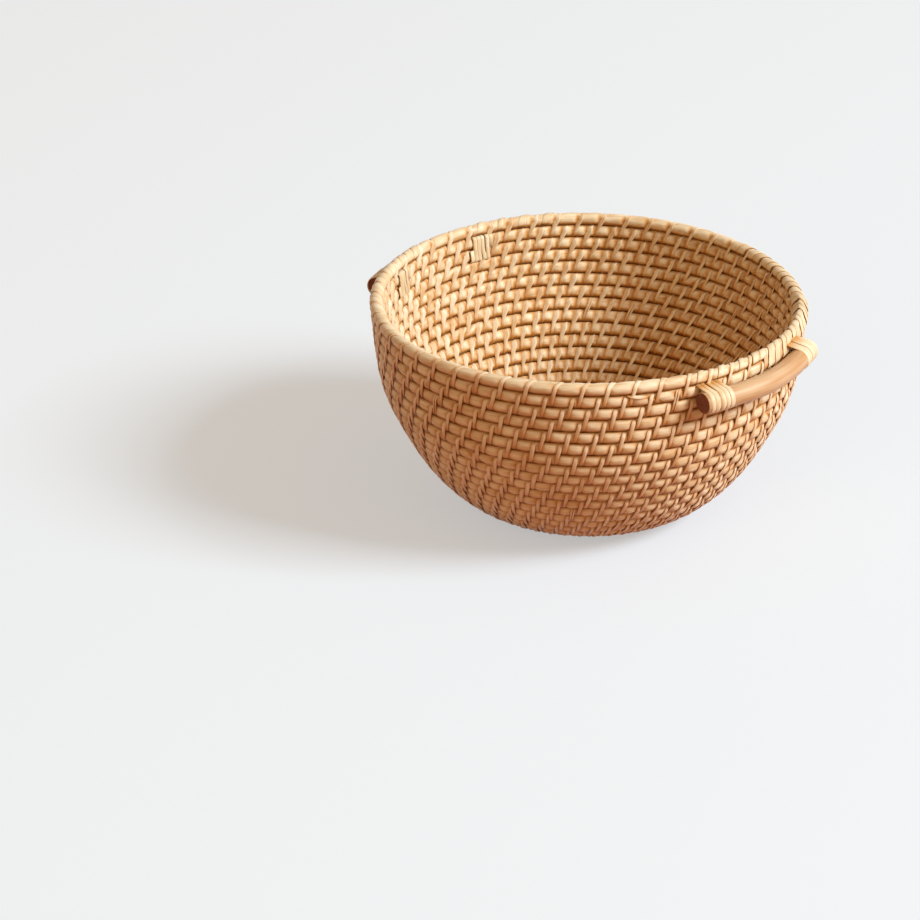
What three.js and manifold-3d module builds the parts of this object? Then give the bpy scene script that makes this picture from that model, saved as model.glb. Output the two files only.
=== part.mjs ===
// A deep round bowl of coiled rattan with two bent-pole handles, in millimetres, +Z up.
//
// One long coil of spliced canes starts at the middle of the base, spirals out over the flat base and climbs the
// wall, anticlockwise seen from above, to a pared tip on the rim. Each handle is a short bent pole that lies along
// the wall below the rim. Two bindings of peel hold it: each goes round the pole and through the wall, over two
// turns of the coil. The origin is at the middle of the face that the bowl stands on.
import * as THREE from 'three';
import Module from 'manifold-3d';
import { mergeVertices } from 'three/addons/utils/BufferGeometryUtils.js';

// Clearances
const SEAT_GAP = 0.3; // between pieces that touch on the real bowl
const SPLICE_GAP = 0.3; // between the two faces of a splice

// Peel: the flat strip that binds the handles on and passes between the turns
const STRIP_THICKNESS = 0.4;
const STRIP_WIDTH = 2.2;
const LOOP_GAP = 0.35; // between the loops of a binding, on the inside of the wall

// Coil
const CANE_DIAMETER = 6.7; // between two neighbouring turns
const CANE_RIDGE = 7.8; // through the wall, ridge to ridge
const CANE_FLAT = 3.8; // width of the side that faces the next turn
const ROW_GAP = STRIP_THICKNESS + 2 * SEAT_GAP;
const PITCH = CANE_DIAMETER + ROW_GAP;
const STATIONS = 24; // places round a turn where the cane bends
const CORE_RADIUS = 5; // where the coil starts, at the middle of the base
const COARSE_RADIUS = 28; // inside this the coil bends at every other station
const CANE_LENGTH = 920; // the wall's coil is spliced from canes of about this length
const SPLICE_LENGTH = 10; // along the coil, of the slanted faces of a splice
const SLANT = [0, 0.5, 0.5, 0, -0.5, -0.5]; // of those faces, at each corner of the cane
const FLAT_CUT = CANE_DIAMETER / 10; // worn flat under the base

// Profile of the coil's centreline, from the base outwards: tangent arcs, each with its length and its end slope
const BASE_RADIUS = 44.3;
const FOOT_LENGTH = 38.5;
const FOOT_RISE = 42;
const BELLY_LENGTH = 30.8;
const BELLY_RISE = 59;
const FLANK_LENGTH = 30.8;
const FLANK_RISE = 66;
const SHOULDER_LENGTH = 23.1;
const SHOULDER_RISE = 83;
const BAND_LENGTH = 38.5;
const BAND_RISE = 86;

// Rim: the last turn is pared down over the turn below it
const TIP_AZIMUTH = 0;
const TIP_TAPER = 75; // degrees of the rim over which the cane thins
const TIP_SCALE = 0.2; // of the cane's full height, at the tip

// Handles
const POLE_DIAMETER = 12.3;
const POLE_SIDES = 12;
const POLE_STEPS = 14;
const POLE_LENGTH = 97.3;
const POLE_OVERHANG = 2; // bare end of the pole past its binding
const POLE_BOW = 1.5; // how far the middle stands off, past its ends
const STITCH_BED = 1.1; // thickness of the stitching that the pole lies on
const ROWS_ABOVE = 1.5; // turns between the joint that the pole lies on and the top turn's centreline
const BINDING_LOOPS = 5;
const BINDING_CORNER = 1; // cut across the corners inside the wall
const ARC_POINTS = 6; // round the outside of the pole, per loop
const HANDLES = [
  { name: 'front', azimuth: -40.5 },
  { name: 'back', azimuth: 140.5 },
];

const rad = THREE.MathUtils.degToRad;

const material = {
  core: new THREE.MeshStandardMaterial({ color: 0xcfa36c, roughness: 0.62, metalness: 0 }),
  pole: new THREE.MeshStandardMaterial({ color: 0xc98f4e, roughness: 0.35, metalness: 0 }),
  peel: new THREE.MeshStandardMaterial({ color: 0xe6d2a8, roughness: 0.5, metalness: 0 }),
};

const bowl = new THREE.Group();

function addPiece(name, geometry, look) {
  const mesh = new THREE.Mesh(geometry, look);
  mesh.name = name;
  bowl.add(mesh);
}

// Profile

const arcs = [
  { length: FOOT_LENGTH, rise: rad(FOOT_RISE) },
  { length: BELLY_LENGTH, rise: rad(BELLY_RISE) },
  { length: FLANK_LENGTH, rise: rad(FLANK_RISE) },
  { length: SHOULDER_LENGTH, rise: rad(SHOULDER_RISE) },
  { length: BAND_LENGTH, rise: rad(BAND_RISE) },
];
const PROFILE_LENGTH = BASE_RADIUS + arcs.reduce((sum, arc) => sum + arc.length, 0);
const BASE_LEVEL = CANE_RIDGE / 2 - FLAT_CUT;

// Radius, height and rise of the coil's centreline at a distance along the profile from the axis
function profileAt(distance) {
  let r = Math.min(distance, BASE_RADIUS);
  let z = BASE_LEVEL;
  let rise = 0;
  let left = distance - BASE_RADIUS;
  for (const arc of arcs) {
    if (left <= 0) break;
    const run = Math.min(left, arc.length);
    const halfBend = ((arc.rise - rise) * run) / arc.length / 2;
    const chord = halfBend === 0 ? run : (run * Math.sin(halfBend)) / halfBend;
    r += chord * Math.cos(rise + halfBend);
    z += chord * Math.sin(rise + halfBend);
    rise += 2 * halfBend;
    left -= run;
  }
  return { r, z, rise };
}

// Coil

const STEP = 360 / STATIONS;
const coilSteps = Math.floor(((PROFILE_LENGTH - CORE_RADIUS) / PITCH) * STATIONS);

// Distance along the profile, from the axis, of a station counted from the start of the coil
function stationDistance(station) {
  return PROFILE_LENGTH - ((coilSteps - station) * PITCH) / STATIONS;
}

// Distance along the profile of the coil's last turn at an azimuth, as if its tip weren't pared
function lastTurnAt(azimuth) {
  const behind = THREE.MathUtils.euclideanModulo(TIP_AZIMUTH - azimuth, 360);
  return PROFILE_LENGTH - (PITCH * behind) / 360;
}

// A point at an azimuth, out from the wall's centreline by n and up along the wall by m
function wallPoint(azimuth, place, n, m) {
  const r = place.r + n * Math.sin(place.rise) + m * Math.cos(place.rise);
  const z = place.z - n * Math.cos(place.rise) + m * Math.sin(place.rise);
  return new THREE.Vector3(r * Math.cos(rad(azimuth)), r * Math.sin(rad(azimuth)), z);
}

// The cane's section at a station: six corners
function caneRing(station) {
  const back = coilSteps - station;
  const azimuth = TIP_AZIMUTH - back * STEP;
  const pared = Math.max(0, 1 - (back * STEP) / TIP_TAPER);
  const scale = 1 - pared * (1 - TIP_SCALE);
  const halfHeight = (CANE_DIAMETER / 2) * scale;
  const lowered = CANE_DIAMETER / 2 - halfHeight;
  const place = profileAt(stationDistance(station) - lowered);
  const ridge = (CANE_RIDGE / 2) * Math.sqrt(scale);
  const flat = (CANE_FLAT / 2) * Math.sqrt(scale);
  const corners = [
    [ridge, 0],
    [flat, halfHeight],
    [-flat, halfHeight],
    [-ridge, 0],
    [-flat, -halfHeight],
    [flat, -halfHeight],
  ];
  return corners.map(([n, m]) => wallPoint(azimuth, place, n, m));
}

// Length of the cane between two stations
function stationSpan(a, b) {
  const middle = (ring) => ring[0].clone().add(ring[3]).multiplyScalar(0.5);
  return middle(caneRing(a)).distanceTo(middle(caneRing(b)));
}

// The slanted end of a cane halfway between two stations; side is -1 before the splice and 1 after it
function spliceRing(before, after, side) {
  const low = caneRing(before);
  const high = caneRing(after);
  const span = stationSpan(before, after);
  return low.map((corner, i) => {
    const along = span / 2 + side * (SPLICE_GAP / 2) + SLANT[i] * Math.min(SPLICE_LENGTH, span / 2);
    return corner.clone().lerp(high[i], along / span);
  });
}

// A closed body through a list of rings with equal numbers of corners
function sweepRings(rings) {
  const sides = rings[0].length;
  const points = rings.flat();
  const faces = [];
  for (let i = 0; i + 1 < rings.length; i += 1) {
    for (let j = 0; j < sides; j += 1) {
      const a = i * sides + j;
      const b = i * sides + ((j + 1) % sides);
      faces.push(a, b, b + sides, a, b + sides, a + sides);
    }
  }
  const last = (rings.length - 1) * sides;
  for (let j = 1; j + 1 < sides; j += 1) {
    faces.push(0, j + 1, j, last, last + j, last + j + 1);
  }
  const geometry = new THREE.BufferGeometry();
  geometry.setAttribute('position', new THREE.Float32BufferAttribute(points.flatMap((p) => p.toArray()), 3));
  geometry.setIndex(faces);
  return faceOutwards(geometry);
}

// Turns the faces round if the body's volume comes out negative
function faceOutwards(geometry) {
  const position = geometry.getAttribute('position');
  const index = geometry.getIndex();
  const corner = [new THREE.Vector3(), new THREE.Vector3(), new THREE.Vector3()];
  let volume = 0;
  for (let i = 0; i < index.count; i += 3) {
    corner.forEach((c, k) => c.fromBufferAttribute(position, index.getX(i + k)));
    volume += corner[0].dot(corner[1].clone().cross(corner[2]));
  }
  if (volume < 0) {
    for (let i = 0; i < index.count; i += 3) {
      const second = index.getX(i + 1);
      index.setX(i + 1, index.getX(i + 2));
      index.setX(i + 2, second);
    }
  }
  geometry.computeVertexNormals();
  return geometry;
}

// Stations of the whole coil: every other one near the middle, where the turns are small
function coilStations() {
  const stations = [];
  let station = 0;
  while (station < coilSteps) {
    stations.push(station);
    const even = (coilSteps - station) % 2 === 0;
    station += stationDistance(station) < COARSE_RADIUS && even ? 2 : 1;
  }
  stations.push(coilSteps);
  return stations;
}

// The canes, each a list of rings: one for the flat base, and then the wall's, cut from the coil one after another
function cutCanes() {
  const stations = coilStations();
  const ends = [0];
  stations.slice(1).forEach((station, i) => ends.push(ends[i] + stationSpan(stations[i], station)));
  const base = ends[stations.findIndex((station) => stationDistance(station) > BASE_RADIUS)];
  const wall = ends[ends.length - 1] - base;
  const count = Math.max(2, Math.round(wall / CANE_LENGTH));
  const canes = [];
  let rings = [caneRing(stations[0])];
  for (let i = 1; i < stations.length; i += 1) {
    const due = base + (wall / count) * canes.length;
    if (canes.length < count && ends[i] > due) {
      rings.push(spliceRing(stations[i - 1], stations[i], -1));
      canes.push(rings);
      rings = [spliceRing(stations[i - 1], stations[i], 1)];
    }
    rings.push(caneRing(stations[i]));
  }
  canes.push(rings);
  return canes;
}

// Base: the canes that reach below the face that the bowl stands on are cut flat there

const wasm = await Module();
wasm.setup();

function toSolid(geometry) {
  const bare = geometry.clone();
  bare.deleteAttribute('normal');
  bare.deleteAttribute('uv');
  const merged = mergeVertices(bare);
  return new wasm.Manifold(
    new wasm.Mesh({
      numProp: 3,
      vertProperties: new Float32Array(merged.getAttribute('position').array),
      triVerts: new Uint32Array(merged.getIndex().array),
    }),
  );
}

function toGeometry(solid) {
  const mesh = solid.getMesh();
  const geometry = new THREE.BufferGeometry();
  geometry.setAttribute('position', new THREE.BufferAttribute(new Float32Array(mesh.vertProperties), 3));
  geometry.setIndex(new THREE.BufferAttribute(new Uint32Array(mesh.triVerts), 1));
  geometry.computeVertexNormals();
  return geometry;
}

// What is below the face that the bowl stands on
function floorBlock() {
  const width = 4 * PROFILE_LENGTH;
  const depth = 2 * CANE_RIDGE;
  const block = new THREE.BoxGeometry(width, width, depth);
  block.translate(0, 0, -depth / 2);
  return toSolid(block);
}

function lowestPoint(rings) {
  return Math.min(...rings.flat().map((p) => p.z));
}

function addCoil() {
  const canes = cutCanes();
  const floor = floorBlock();
  canes.forEach((rings, i) => {
    let name = `wall_cane_${String(i).padStart(2, '0')}`;
    if (i === 0) name = 'base_cane';
    if (i === canes.length - 1) name = 'rim_cane';
    let geometry = sweepRings(rings);
    if (lowestPoint(rings) < 0) geometry = toGeometry(toSolid(geometry).subtract(floor));
    addPiece(name, geometry, material.core);
  });
}

// Handles

// The canes run straight between stations, so a turn is nearer the axis there by this share
function facetShare(azimuth) {
  const fromMiddle = THREE.MathUtils.euclideanModulo(azimuth - TIP_AZIMUTH, STEP) - STEP / 2;
  return Math.cos(rad(STEP / 2)) / Math.cos(rad(fromMiddle));
}

// The joint between the second and third turns from the top, where a handle lies
function handleJoint(azimuth) {
  return profileAt(lastTurnAt(azimuth) - ROWS_ABOVE * PITCH);
}

// The pole touches the ridges of the turns above and below the joint
const poleReach = POLE_DIAMETER / 2 + STITCH_BED + SEAT_GAP;
const poleSeat = CANE_RIDGE / 2 + Math.sqrt(poleReach ** 2 - (PITCH / 2) ** 2);

// Angles of a handle, in degrees: from one loop of a binding to the next, from the handle's middle to the middle
// of a binding, and to the end of the pole; and the radius of the pole's centreline where it touches the wall
function handleAngles(handle) {
  const joint = handleJoint(handle.azimuth);
  const seat = joint.r + poleSeat * Math.sin(joint.rise);
  const inside = joint.r * Math.cos(rad(STEP / 2)) - (CANE_RIDGE / 2 + SEAT_GAP + STRIP_THICKNESS);
  const loop = THREE.MathUtils.radToDeg((STRIP_WIDTH + LOOP_GAP) / inside);
  const end = THREE.MathUtils.radToDeg(POLE_LENGTH / 2 / seat);
  const overhang = THREE.MathUtils.radToDeg(POLE_OVERHANG / seat);
  return { seat, loop, end, bound: end - overhang - (BINDING_LOOPS * loop) / 2 };
}

// Centre of a handle's pole at an angle from the handle's middle
function poleCentre(handle, angle) {
  const middle = handleJoint(handle.azimuth);
  const { seat, bound } = handleAngles(handle);
  const share = Math.min(1, Math.abs(angle) / bound);
  const r = seat + POLE_BOW * Math.cos((Math.PI / 2) * share) ** 2;
  const z = middle.z - poleSeat * Math.cos(middle.rise);
  const azimuth = rad(handle.azimuth + angle);
  return new THREE.Vector3(r * Math.cos(azimuth), r * Math.sin(azimuth), z);
}

function poleGeometry(handle) {
  const half = handleAngles(handle).end;
  const route = [];
  for (let i = 0; i <= POLE_STEPS; i += 1) {
    route.push(poleCentre(handle, -half + (2 * half * i) / POLE_STEPS));
  }
  const section = new THREE.Shape();
  section.absarc(0, 0, POLE_DIAMETER / 2, 0, 2 * Math.PI);
  return new THREE.ExtrudeGeometry(section, {
    steps: POLE_STEPS,
    curveSegments: POLE_SIDES / 2,
    bevelEnabled: false,
    extrudePath: new THREE.CatmullRomCurve3(route),
  });
}

// One loop of a binding as [n, m] places about the joint: up inside the wall, out through it above the second
// turn, round the pole and back in below the third
function loopOutline(poleOut, poleUp) {
  const inside = -(CANE_RIDGE / 2 + SEAT_GAP + STRIP_THICKNESS / 2);
  const outside = CANE_RIDGE / 2;
  const arcStep = Math.PI / ARC_POINTS;
  const reach = (POLE_DIAMETER / 2 + SEAT_GAP + STRIP_THICKNESS / 2) / Math.cos(arcStep / 2);
  const outline = [
    [inside, 0],
    [inside, PITCH - BINDING_CORNER],
    [inside + BINDING_CORNER, PITCH],
    [outside, PITCH],
  ];
  for (let i = 0; i < ARC_POINTS; i += 1) {
    const angle = Math.PI / 2 - arcStep * (i + 0.5);
    outline.push([poleOut + reach * Math.cos(angle), poleUp + reach * Math.sin(angle)]);
  }
  outline.push([outside, -PITCH], [inside + BINDING_CORNER, -PITCH], [inside, BINDING_CORNER - PITCH]);
  return outline;
}

// A place on a binding's route: the loop's [n, m] place, at an angle from the handle's middle
function bindingPoint(handle, angle, pick) {
  const azimuth = handle.azimuth + angle;
  const joint = handleJoint(azimuth);
  joint.r *= facetShare(azimuth);
  const pole = poleCentre(handle, angle);
  const out = Math.hypot(pole.x, pole.y) - joint.r;
  const up = pole.z - joint.z;
  const poleOut = out * Math.sin(joint.rise) - up * Math.cos(joint.rise);
  const poleUp = out * Math.cos(joint.rise) + up * Math.sin(joint.rise);
  const [n, m] = loopOutline(poleOut, poleUp)[pick];
  return wallPoint(azimuth, joint, n, m);
}

// The whole route of a binding: its loops, each moved along the pole from the one before
function bindingRoute(handle, side) {
  const { loop, bound } = handleAngles(handle);
  const count = loopOutline(0, 0).length;
  const route = [];
  for (let i = 0; i <= BINDING_LOOPS * count; i += 1) {
    const angle = side * bound + loop * (i / count - BINDING_LOOPS / 2);
    route.push(bindingPoint(handle, angle, i % count));
  }
  return route;
}

// Rings of a flat strip along a route that winds round the tangent of the pole
function stripRings(route, across) {
  return route.map((point, i) => {
    const before = route[Math.max(0, i - 1)];
    const after = route[Math.min(route.length - 1, i + 1)];
    const into = point.clone().sub(before).normalize();
    const out = after.clone().sub(point).normalize();
    if (i === 0) into.copy(out);
    if (i === route.length - 1) out.copy(into);
    const forward = into.clone().add(out).normalize();
    const normal = forward.clone().cross(across).normalize();
    const mitre = 1 / into.dot(forward);
    const half = normal.multiplyScalar((STRIP_THICKNESS / 2) * mitre);
    const wide = across.clone().multiplyScalar(STRIP_WIDTH / 2);
    return [
      point.clone().add(half).add(wide),
      point.clone().sub(half).add(wide),
      point.clone().sub(half).sub(wide),
      point.clone().add(half).sub(wide),
    ];
  });
}

// Least distance between a binding's neighbouring loops, less the strip's width
function leastGap(route, across) {
  const count = loopOutline(0, 0).length;
  let least = Infinity;
  for (let i = 0; i + count < route.length; i += 1) {
    const along = route[i + count].clone().sub(route[i]).dot(across);
    least = Math.min(least, Math.abs(along) - STRIP_WIDTH);
  }
  return least;
}

function addHandle(handle) {
  addPiece(`${handle.name}_handle`, poleGeometry(handle), material.pole);
  for (const side of [-1, 1]) {
    const azimuth = rad(handle.azimuth + side * handleAngles(handle).bound);
    const across = new THREE.Vector3(-Math.sin(azimuth), Math.cos(azimuth), 0);
    const route = bindingRoute(handle, side);
    const name = `${handle.name}_binding_${side < 0 ? 'left' : 'right'}`;
    addPiece(name, sweepRings(stripRings(route, across)), material.peel);
    console.log(`${name}: least gap between loops ${leastGap(route, across).toFixed(2)} mm`);
  }
}

// Least distance between neighbouring turns of the coil, measured between the corners that face each other
function leastTurnGap() {
  let least = Infinity;
  for (let station = 0; station + STATIONS <= coilSteps; station += 1) {
    const lower = caneRing(station);
    const upper = caneRing(station + STATIONS);
    least = Math.min(least, lower[1].distanceTo(upper[5]), lower[2].distanceTo(upper[4]));
  }
  return least;
}

addCoil();
HANDLES.forEach(addHandle);
console.log(`coil: ${(coilSteps / STATIONS).toFixed(1)} turns, least gap between turns ${leastTurnGap().toFixed(2)} mm`);

export default bowl;
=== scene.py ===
"""Looks of a coiled rattan bowl: canes, stitching, wrapped rim, bound pole handles and the stage."""

import math
import random
from bisect import bisect
from typing import NamedTuple

import bmesh
import bpy
from bpy.props import FloatProperty, FloatVectorProperty, IntProperty, PointerProperty
from bpy.types import Operator, Panel, PropertyGroup
from mathutils import Matrix, Vector


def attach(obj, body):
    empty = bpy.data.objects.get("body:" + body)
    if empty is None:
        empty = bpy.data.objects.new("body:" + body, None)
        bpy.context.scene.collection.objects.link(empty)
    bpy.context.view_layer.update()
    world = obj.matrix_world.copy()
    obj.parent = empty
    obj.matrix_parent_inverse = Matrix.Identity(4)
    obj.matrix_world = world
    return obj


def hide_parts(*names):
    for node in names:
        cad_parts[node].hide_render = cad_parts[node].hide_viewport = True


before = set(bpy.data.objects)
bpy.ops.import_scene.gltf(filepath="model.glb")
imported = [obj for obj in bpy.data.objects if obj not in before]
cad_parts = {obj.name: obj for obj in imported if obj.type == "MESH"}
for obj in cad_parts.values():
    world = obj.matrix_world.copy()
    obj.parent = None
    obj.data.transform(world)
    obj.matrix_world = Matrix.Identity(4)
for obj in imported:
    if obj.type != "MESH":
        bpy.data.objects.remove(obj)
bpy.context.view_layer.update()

bl_info = {
    "name": "Coiled Rattan Bowl",
    "version": (1, 0, 0),
    "blender": (4, 5, 0),
    "location": "3D View > Sidebar > Bowl",
    "description": "Builds a coiled rattan bowl with two bound pole handles",
    "category": "Add Mesh",
}


def length_setting(label, meaning, default):
    """A setting in metres"""
    return FloatProperty(name=label, description=meaning, default=default, unit="LENGTH")


def angle_setting(label, meaning, degrees):
    """A setting of an angle, with its default given in degrees"""
    return FloatProperty(name=label, description=meaning, default=math.radians(degrees), unit="ROTATION")


def number_setting(label, meaning, default):
    """A setting without a unit"""
    return FloatProperty(name=label, description=meaning, default=default)


def colour_setting(label, meaning, *default):
    """A setting of a colour, in linear light"""
    return FloatVectorProperty(name=label, description=meaning, size=3, subtype="COLOR", default=default)


class CoilSettings(PropertyGroup):
    """Canes of the coil and the profile that they follow"""

    pitch: length_setting("Pitch", "Height of one turn of the coil along the wall", 0.0077)
    cane_height: length_setting("Cane height", "Thickness of a cane from turn to turn, unpressed", 0.0086)
    cane_depth: length_setting("Cane depth", "Thickness of a cane through the wall", 0.00764)
    top_height: length_setting("Top height", "How far the top turn stands above its middle", 0.0033)
    core_radius: length_setting("Core radius", "Where the coil starts in the base", 0.005)
    base_radius: length_setting("Base radius", "Radius of the flat base", 0.0443)
    arc_lengths: FloatVectorProperty(
        name="Arc lengths",
        description="Foot, belly, flank, shoulder and band of the wall, along the profile",
        size=5,
        default=(0.0385, 0.0308, 0.0308, 0.0231, 0.0385),
        unit="LENGTH",
    )
    arc_rises: FloatVectorProperty(
        name="Arc rises",
        description="Slope of the wall at the end of each arc",
        size=5,
        default=tuple(math.radians(rise) for rise in (42, 59, 66, 83, 86)),
        unit="ROTATION",
    )
    base_level: length_setting("Base level", "Height of the cane's middle in the base", 0.00323)
    cane_length: length_setting("Cane length", "About the length of each cane of the wall", 0.92)
    splice_length: length_setting("Splice length", "Length of the slant where two canes meet", 0.005)
    tip_turn: number_setting("Pared turn", "Share of a turn over which the tip is pared down", 75 / 360)
    tip_drop: length_setting("Tip drop", "How much lower the pared tip is than the cane", 0.0051)
    pinch: length_setting("Pinch", "How deep a strip presses into a cane", 0.00095)
    sides: IntProperty(name="Sides", description="Faces round a cane", default=20)


class StitchSettings(PropertyGroup):
    """Peel strips that stitch each turn to the turn below"""

    per_turn: number_setting("Stitches", "Stitches in one turn of the wall", 52.64)
    first: number_setting("First stitch", "Stitches from the tip to the first one", 0.5)
    width: length_setting("Strip width", "Width of a strip outside the wall", 0.0027)
    thickness: length_setting("Strip thickness", "Thickness of the peel", 0.0005)
    lean_outside: number_setting("Lean outside", "Shift outside from row to row, in stitches", 0.12)
    lean_inside: number_setting("Lean inside", "Shift inside from row to row, in stitches", 0.21)
    wander: number_setting("Wander", "Greatest error of a stitch's place, in stitches", 0.055)
    doubled: number_setting("Doubled", "Share of the strips that are split in two", 0.02)


class RimSettings(PropertyGroup):
    """Close wrapping of peel round parts of the top turn"""

    thickness: length_setting("Wrap thickness", "Thickness of the wrapping", 0.00034)
    shingle: length_setting("Shingle", "How far one edge of a wrap stands over the next", 0.00011)


class HandleSettings(PropertyGroup):
    """Bent poles and the strips that bind them to the wall"""

    azimuths: FloatVectorProperty(
        name="Azimuths",
        description="Directions of the middle of the front and the back handle",
        size=2,
        default=(math.radians(-40.5), math.radians(140.5)),
        unit="ROTATION",
    )
    diameter: length_setting("Pole diameter", "Thickness of a pole", 0.0123)
    length: length_setting("Pole length", "Length along the bent pole", 0.0973)
    overhang: length_setting("Overhang", "Bare end of the pole past its binding", 0.002)
    bow: length_setting("Bow", "How far a pole's middle stands off past its ends", 0.0015)
    bed: length_setting("Bed", "Stitching and room between pole and cane", 0.0014)
    rows_above: number_setting("Rows above", "Turns from the pole up to the middle of the top turn", 1.5)
    loops: IntProperty(name="Loops", description="Loops in each binding", default=5)
    strip_width: length_setting("Binding width", "Width of the binding's strip", 0.0022)
    strip_gap: length_setting("Binding gap", "Gap between two loops inside the wall", 0.00035)


class FinishSettings(PropertyGroup):
    """Colours of the rattan"""

    core_dark: colour_setting("Core dark", "Dark fibres of the core", 0.66, 0.44, 0.20)
    core_light: colour_setting("Core light", "Light fibres of the core", 0.91, 0.83, 0.61)
    peel_dark: colour_setting("Peel dark", "Dark streaks of the peel", 0.73, 0.49, 0.24)
    peel_light: colour_setting("Peel light", "Light face of the peel", 0.94, 0.88, 0.69)
    # Amber and the next colour are painted shade: amber for the shade on the lower side of canes and strips,
    # with faint random patches, and the next for the deep shade in grooves, beside strips and along strip
    # edges, which the dark specks of the grain share
    amber: colour_setting("Amber", "Tint of a thin coat of varnish", 0.76, 0.43, 0.13)
    stain: colour_setting("Stain", "Varnish gathered in the grooves", 0.12, 0.034, 0.005)
    wrap_dark: colour_setting("Wrap dark", "Dark streaks of wrapping and bindings", 0.72, 0.55, 0.31)
    wrap_light: colour_setting("Wrap light", "Light face of wrapping and bindings", 0.91, 0.83, 0.61)
    pole_dark: colour_setting("Pole dark", "Dark streaks of the poles", 0.52, 0.28, 0.11)
    pole_light: colour_setting("Pole light", "Light skin of the poles", 0.68, 0.50, 0.31)
    end_dark: colour_setting("End dark", "Pores of a pole's cut end", 0.05, 0.012, 0.004)
    end_light: colour_setting("End light", "Wood of a pole's cut end", 0.22, 0.06, 0.02)


class StageSettings(PropertyGroup):
    """Camera, floor and lamps"""

    elevation: angle_setting("Elevation", "Angle of the view above level", 24.58)
    distance: length_setting("Distance", "Camera to the middle of the rim", 2.087)
    roll: angle_setting("Roll", "Turn of the image about the view", 0.75)
    rim_level: length_setting("Rim level", "Mean height of the top turn's middle", 0.1236)
    focal: FloatProperty(
        name="Focal length", description="In pixels of the image", default=3600, subtype="PIXEL"
    )
    image: IntProperty(
        name="Image", description="Width and height of the image", default=920, subtype="PIXEL"
    )
    rim_pixel: FloatVectorProperty(
        name="Rim pixel",
        description="Where the middle of the rim shows in the image",
        size=2,
        default=(588.3, 300.1),
    )
    key_power: FloatProperty(
        name="Key", description="Strength of the key lamp", default=545.0, unit="POWER"
    )
    world: number_setting("World", "Strength of the light from all round", 0.36)
    world_colour: colour_setting("World colour", "Colour of the light from all round", 1.0, 0.58, 0.28)
    backdrop: colour_setting("Backdrop", "Colour of what shows past the floor", 0.80, 0.81, 0.82)
    floor: colour_setting("Floor", "Colour of the floor in the image", 0.39, 0.47, 0.545)
    floor_glow: colour_setting("Floor glow", "Light of the floor in the image alone", 0.45, 0.45, 0.45)
    floor_bounce: colour_setting("Floor bounce", "Colour of the light off the floor", 0.44, 0.145, 0.03)


class BowlSettings(PropertyGroup):
    """All settings of the bowl and its stage"""

    coil: PointerProperty(type=CoilSettings)
    stitches: PointerProperty(type=StitchSettings)
    rim: PointerProperty(type=RimSettings)
    handles: PointerProperty(type=HandleSettings)
    finish: PointerProperty(type=FinishSettings)
    stage: PointerProperty(type=StageSettings)


# Wall: places on the bowl's profile and along its coil
# A turn counts back from the tip on the rim, which is turn 0

STATIONS = 24  # straight runs in a turn of the solid canes, which the stand-off of the handles follows
TABLE_STEP = 0.0002
TABLE_ROOM = 120  # lines of the table past the tip
TOUCH = 0.00002  # how far two turns press into each other
PRESS_RAMP = 0.04  # turns past the start of the second turn over which the cane gets its full height
TIP_THINNING = 0.8  # how much of the square of its depth the tip has lost


def ease(share):
    """A step from 0 to 1 with soft ends"""
    share = min(1.0, max(0.0, share))
    return share * share * (3 - 2 * share)


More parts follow.
